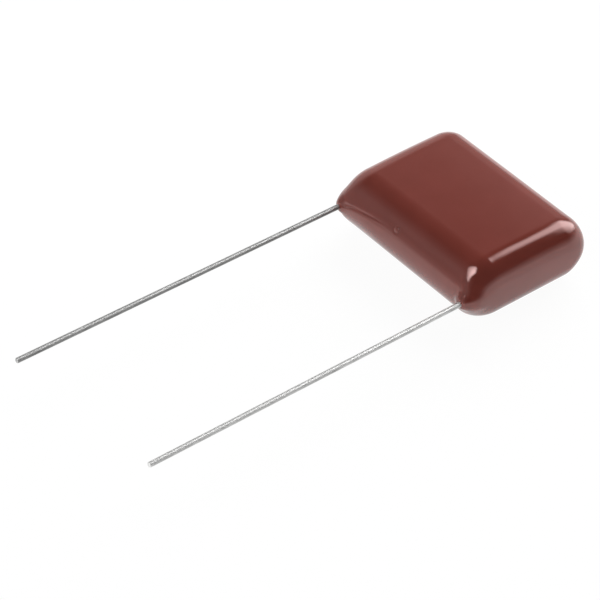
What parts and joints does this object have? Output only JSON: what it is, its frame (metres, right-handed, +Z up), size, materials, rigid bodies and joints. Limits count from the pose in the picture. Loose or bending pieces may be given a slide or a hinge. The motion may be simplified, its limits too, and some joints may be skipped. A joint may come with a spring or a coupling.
{
  "type": "dipped film capacitor",
  "caption": "Flat brown epoxy-dipped film capacitor with rounded edges and straight tinned wire leads drawn out of one long side.",
  "frame": {"origin": "centre of the flat underside that the body rests on", "axes": "+Z up through the thickness, X along the lead spacing, the leads pointing along -Y"},
  "size_m": [0.0314, 0.0793, 0.01],
  "materials": {
    "epoxy": "glossy dipped epoxy",
    "metallised_film": "metallised film, satin",
    "sprayed_metal": "rough sprayed metal",
    "tinned_wire": "bright tin"
  },
  "bodies": {
    "root": {"epoxy_coat": "epoxy", "film_winding": "metallised_film", "end_spray_left": "sprayed_metal", "end_spray_right": "sprayed_metal", "lead_left": "tinned_wire", "lead_right": "tinned_wire"}
  },
  "joints": []
}
